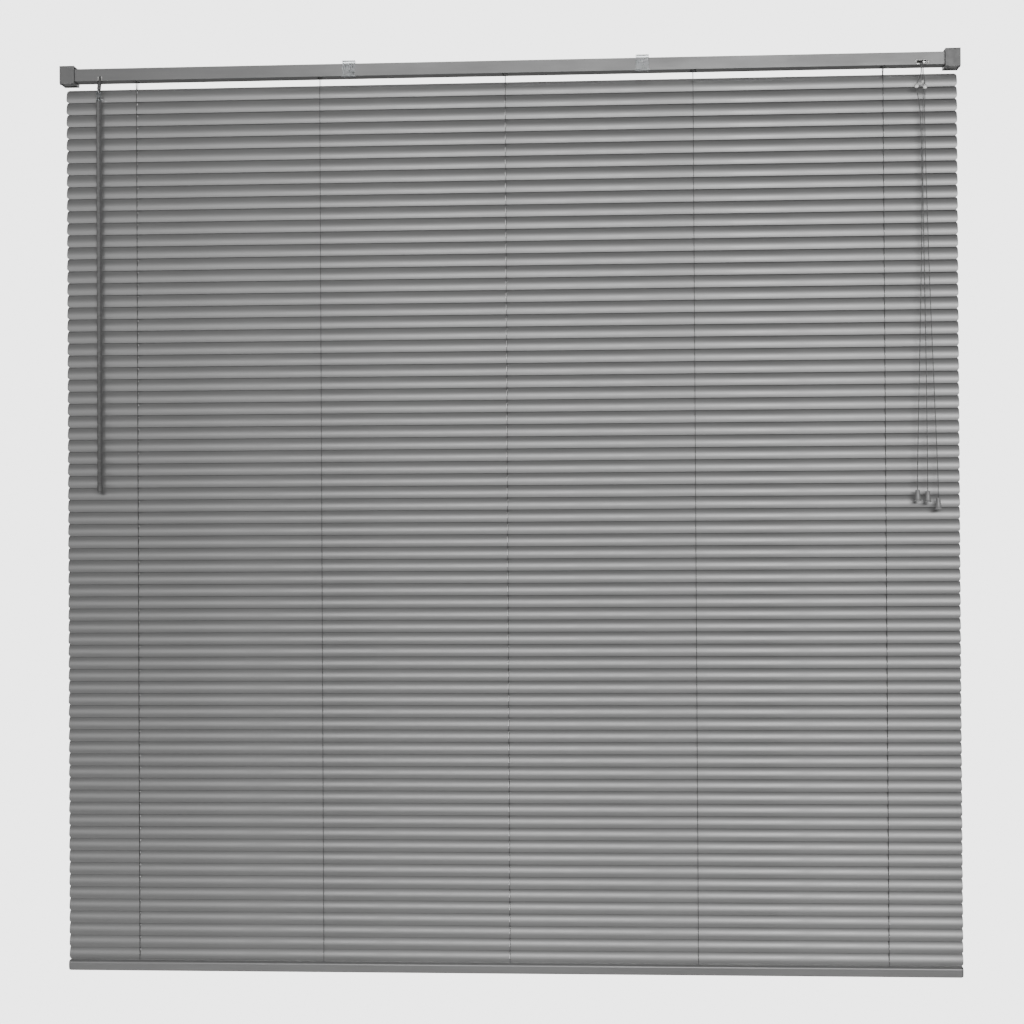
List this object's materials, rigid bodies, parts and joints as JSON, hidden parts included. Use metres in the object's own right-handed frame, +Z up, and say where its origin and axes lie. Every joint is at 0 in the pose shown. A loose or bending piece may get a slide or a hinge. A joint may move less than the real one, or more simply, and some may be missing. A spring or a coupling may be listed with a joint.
{
  "type": "venetian blind",
  "caption": "Grey venetian blind at full drop, slats closed, with a tilt wand on the left and lift cords on the right",
  "frame": {"origin": "middle of the plane the end brackets and clear supports are screwed against, above the slats' centre line", "axes": "+X right as seen from the room, +Y towards the window, +Z up"},
  "size_m": [1.606, 0.0412, 1.6295],
  "materials": {
    "grey_paint": "satin",
    "grey_plastic": "satin",
    "clear_plastic": "gloss",
    "steel": "satin",
    "pale_plastic": "matte",
    "cord": "matte"
  },
  "bodies": {
    "frame": {"headrail": "grey_paint", "bracket_left": "grey_plastic", "bracket_right": "grey_plastic", "support_left": "clear_plastic", "support_right": "clear_plastic", "tilter_housing": "pale_plastic", "cord_lock": "pale_plastic", "bottom_rail": "grey_paint", "lift_cord_left": "cord", "lift_cord_middle": "cord", "lift_cord_right": "cord", "pull_cord_1": "cord", "pull_cord_2": "cord", "pull_cord_3": "cord", "tassel_1": "grey_plastic", "tassel_2": "grey_plastic", "tassel_3": "grey_plastic", "ladder_1": "cord", "ladder_2": "cord", "ladder_3": "cord", "ladder_4": "cord", "ladder_5": "cord"},
    "tilt_shaft": {"tilt_rod": "steel", "tilter_wheel": "pale_plastic", "ladder_drum_1": "pale_plastic", "ladder_drum_2": "pale_plastic", "ladder_drum_3": "pale_plastic", "ladder_drum_4": "pale_plastic", "ladder_drum_5": "pale_plastic"},
    "tilter_worm": {"tilter_worm": "steel"},
    "wand_sleeve": {"wand_sleeve": "clear_plastic"},
    "wand": {"wand": "grey_plastic", "wand_tip": "grey_plastic"},
    "door_left": {"door_left": "grey_plastic"},
    "door_right": {"door_right": "grey_plastic"},
    "cord_lock_roller": {"cord_lock_roller": "steel"},
    "slat_02": {"slat_02": "grey_paint"},
    "slat_05": {"slat_05": "grey_paint"},
    "slat_08": {"slat_08": "grey_paint"},
    "slat_11": {"slat_11": "grey_paint"},
    "slat_14": {"slat_14": "grey_paint"},
    "slat_17": {"slat_17": "grey_paint"},
    "slat_20": {"slat_20": "grey_paint"},
    "slat_23": {"slat_23": "grey_paint"},
    "slat_26": {"slat_26": "grey_paint"},
    "slat_29": {"slat_29": "grey_paint"},
    "slat_32": {"slat_32": "grey_paint"},
    "slat_35": {"slat_35": "grey_paint"},
    "slat_38": {"slat_38": "grey_paint"},
    "slat_41": {"slat_41": "grey_paint"},
    "slat_44": {"slat_44": "grey_paint"},
    "slat_47": {"slat_47": "grey_paint"},
    "slat_50": {"slat_50": "grey_paint"},
    "slat_53": {"slat_53": "grey_paint"},
    "slat_56": {"slat_56": "grey_paint"},
    "slat_59": {"slat_59": "grey_paint"},
    "slat_62": {"slat_62": "grey_paint"},
    "slat_65": {"slat_65": "grey_paint"},
    "slat_68": {"slat_68": "grey_paint"},
    "slat_71": {"slat_71": "grey_paint"}
  },
  "joints": [
    {"name": "tilt_shaft_turn", "type": "hinge", "parent": "frame", "child": "tilt_shaft", "pos_m": [0, 0, -0.015], "axis": [-1, 0, 0], "range_deg": [0, 74], "deforming": ["ladder_1", "ladder_2", "ladder_3", "ladder_4", "ladder_5"]},
    {"name": "tilter_worm_turn", "type": "hinge", "parent": "frame", "child": "tilter_worm", "pos_m": [-0.7305, -0.0082, -0.015], "axis": [0, -0.309, -0.9511], "range_deg": [0, 888]},
    {"name": "wand_swing", "type": "hinge", "parent": "frame", "child": "wand_sleeve", "pos_m": [-0.7305, -0.01994, -0.05114], "axis": [-1, 0, 0], "range_deg": [0, 45]},
    {"name": "wand_turn", "type": "hinge", "parent": "wand_sleeve", "child": "wand", "pos_m": [-0.7305, -0.01994, -0.05114], "axis": [0, 0, -1], "range_deg": [0, 888]},
    {"name": "door_left_open", "type": "hinge", "parent": "frame", "child": "door_left", "pos_m": [-0.7895, -0.0169, -0.0309], "axis": [1, 0, 0], "range_deg": [0, 110]},
    {"name": "door_right_open", "type": "hinge", "parent": "frame", "child": "door_right", "pos_m": [0.7895, -0.0169, -0.0309], "axis": [1, 0, 0], "range_deg": [0, 110]},
    {"name": "cord_lock_roller_turn", "type": "hinge", "parent": "frame", "child": "cord_lock_roller", "pos_m": [0.741, -0.006, -0.02], "axis": [0, 1, 0], "continuous": true},
    {"name": "slat_02_tilt", "type": "hinge", "parent": "frame", "child": "slat_02", "pos_m": [0.002, 0, -0.0733], "axis": [-1, 0, 0], "range_deg": [0, 74]},
    {"name": "slat_05_tilt", "type": "hinge", "parent": "frame", "child": "slat_05", "pos_m": [0.002, 0, -0.1387], "axis": [-1, 0, 0], "range_deg": [0, 74]},
    {"name": "slat_08_tilt", "type": "hinge", "parent": "frame", "child": "slat_08", "pos_m": [0.002, 0, -0.2041], "axis": [-1, 0, 0], "range_deg": [0, 74]},
    {"name": "slat_11_tilt", "type": "hinge", "parent": "frame", "child": "slat_11", "pos_m": [0.002, 0, -0.2695], "axis": [-1, 0, 0], "range_deg": [0, 74]},
    {"name": "slat_14_tilt", "type": "hinge", "parent": "frame", "child": "slat_14", "pos_m": [0.002, 0, -0.3349], "axis": [-1, 0, 0], "range_deg": [0, 74]},
    {"name": "slat_17_tilt", "type": "hinge", "parent": "frame", "child": "slat_17", "pos_m": [0.002, 0, -0.4003], "axis": [-1, 0, 0], "range_deg": [0, 74]},
    {"name": "slat_20_tilt", "type": "hinge", "parent": "frame", "child": "slat_20", "pos_m": [0.002, 0, -0.4657], "axis": [-1, 0, 0], "range_deg": [0, 74]},
    {"name": "slat_23_tilt", "type": "hinge", "parent": "frame", "child": "slat_23", "pos_m": [0.002, 0, -0.5311], "axis": [-1, 0, 0], "range_deg": [0, 74]},
    {"name": "slat_26_tilt", "type": "hinge", "parent": "frame", "child": "slat_26", "pos_m": [0.002, 0, -0.5965], "axis": [-1, 0, 0], "range_deg": [0, 74]},
    {"name": "slat_29_tilt", "type": "hinge", "parent": "frame", "child": "slat_29", "pos_m": [0.002, 0, -0.6619], "axis": [-1, 0, 0], "range_deg": [0, 74]},
    {"name": "slat_32_tilt", "type": "hinge", "parent": "frame", "child": "slat_32", "pos_m": [0.002, 0, -0.7273], "axis": [-1, 0, 0], "range_deg": [0, 74]},
    {"name": "slat_35_tilt", "type": "hinge", "parent": "frame", "child": "slat_35", "pos_m": [0.002, 0, -0.7927], "axis": [-1, 0, 0], "range_deg": [0, 74]},
    {"name": "slat_38_tilt", "type": "hinge", "parent": "frame", "child": "slat_38", "pos_m": [0.002, 0, -0.8581], "axis": [-1, 0, 0], "range_deg": [0, 74]},
    {"name": "slat_41_tilt", "type": "hinge", "parent": "frame", "child": "slat_41", "pos_m": [0.002, 0, -0.9235], "axis": [-1, 0, 0], "range_deg": [0, 74]},
    {"name": "slat_44_tilt", "type": "hinge", "parent": "frame", "child": "slat_44", "pos_m": [0.002, 0, -0.9889], "axis": [-1, 0, 0], "range_deg": [0, 74]},
    {"name": "slat_47_tilt", "type": "hinge", "parent": "frame", "child": "slat_47", "pos_m": [0.002, 0, -1.0543], "axis": [-1, 0, 0], "range_deg": [0, 74]},
    {"name": "slat_50_tilt", "type": "hinge", "parent": "frame", "child": "slat_50", "pos_m": [0.002, 0, -1.1197], "axis": [-1, 0, 0], "range_deg": [0, 74]},
    {"name": "slat_53_tilt", "type": "hinge", "parent": "frame", "child": "slat_53", "pos_m": [0.002, 0, -1.1851], "axis": [-1, 0, 0], "range_deg": [0, 74]},
    {"name": "slat_56_tilt", "type": "hinge", "parent": "frame", "child": "slat_56", "pos_m": [0.002, 0, -1.2505], "axis": [-1, 0, 0], "range_deg": [0, 74]},
    {"name": "slat_59_tilt", "type": "hinge", "parent": "frame", "child": "slat_59", "pos_m": [0.002, 0, -1.3159], "axis": [-1, 0, 0], "range_deg": [0, 74]},
    {"name": "slat_62_tilt", "type": "hinge", "parent": "frame", "child": "slat_62", "pos_m": [0.002, 0, -1.3813], "axis": [-1, 0, 0], "range_deg": [0, 74]},
    {"name": "slat_65_tilt", "type": "hinge", "parent": "frame", "child": "slat_65", "pos_m": [0.002, 0, -1.4467], "axis": [-1, 0, 0], "range_deg": [0, 74]},
    {"name": "slat_68_tilt", "type": "hinge", "parent": "frame", "child": "slat_68", "pos_m": [0.002, 0, -1.5121], "axis": [-1, 0, 0], "range_deg": [0, 74]},
    {"name": "slat_71_tilt", "type": "hinge", "parent": "frame", "child": "slat_71", "pos_m": [0.002, 0, -1.5775], "axis": [-1, 0, 0], "range_deg": [0, 74]}
  ],
  "couplings": [
    {"joint": "slat_02_tilt", "follows": "tilt_shaft_turn", "ratio": 1},
    {"joint": "slat_05_tilt", "follows": "tilt_shaft_turn", "ratio": 1},
    {"joint": "slat_08_tilt", "follows": "tilt_shaft_turn", "ratio": 1},
    {"joint": "slat_11_tilt", "follows": "tilt_shaft_turn", "ratio": 1},
    {"joint": "slat_14_tilt", "follows": "tilt_shaft_turn", "ratio": 1},
    {"joint": "slat_17_tilt", "follows": "tilt_shaft_turn", "ratio": 1},
    {"joint": "slat_20_tilt", "follows": "tilt_shaft_turn", "ratio": 1},
    {"joint": "slat_23_tilt", "follows": "tilt_shaft_turn", "ratio": 1},
    {"joint": "slat_26_tilt", "follows": "tilt_shaft_turn", "ratio": 1},
    {"joint": "slat_29_tilt", "follows": "tilt_shaft_turn", "ratio": 1},
    {"joint": "slat_32_tilt", "follows": "tilt_shaft_turn", "ratio": 1},
    {"joint": "slat_35_tilt", "follows": "tilt_shaft_turn", "ratio": 1},
    {"joint": "slat_38_tilt", "follows": "tilt_shaft_turn", "ratio": 1},
    {"joint": "slat_41_tilt", "follows": "tilt_shaft_turn", "ratio": 1},
    {"joint": "slat_44_tilt", "follows": "tilt_shaft_turn", "ratio": 1},
    {"joint": "slat_47_tilt", "follows": "tilt_shaft_turn", "ratio": 1},
    {"joint": "slat_50_tilt", "follows": "tilt_shaft_turn", "ratio": 1},
    {"joint": "slat_53_tilt", "follows": "tilt_shaft_turn", "ratio": 1},
    {"joint": "slat_56_tilt", "follows": "tilt_shaft_turn", "ratio": 1},
    {"joint": "slat_59_tilt", "follows": "tilt_shaft_turn", "ratio": 1},
    {"joint": "slat_62_tilt", "follows": "tilt_shaft_turn", "ratio": 1},
    {"joint": "slat_65_tilt", "follows": "tilt_shaft_turn", "ratio": 1},
    {"joint": "slat_68_tilt", "follows": "tilt_shaft_turn", "ratio": 1},
    {"joint": "slat_71_tilt", "follows": "tilt_shaft_turn", "ratio": 1},
    {"joint": "tilter_worm_turn", "follows": "tilt_shaft_turn", "ratio": 12},
    {"joint": "wand_turn", "follows": "tilt_shaft_turn", "ratio": 12}
  ]
}
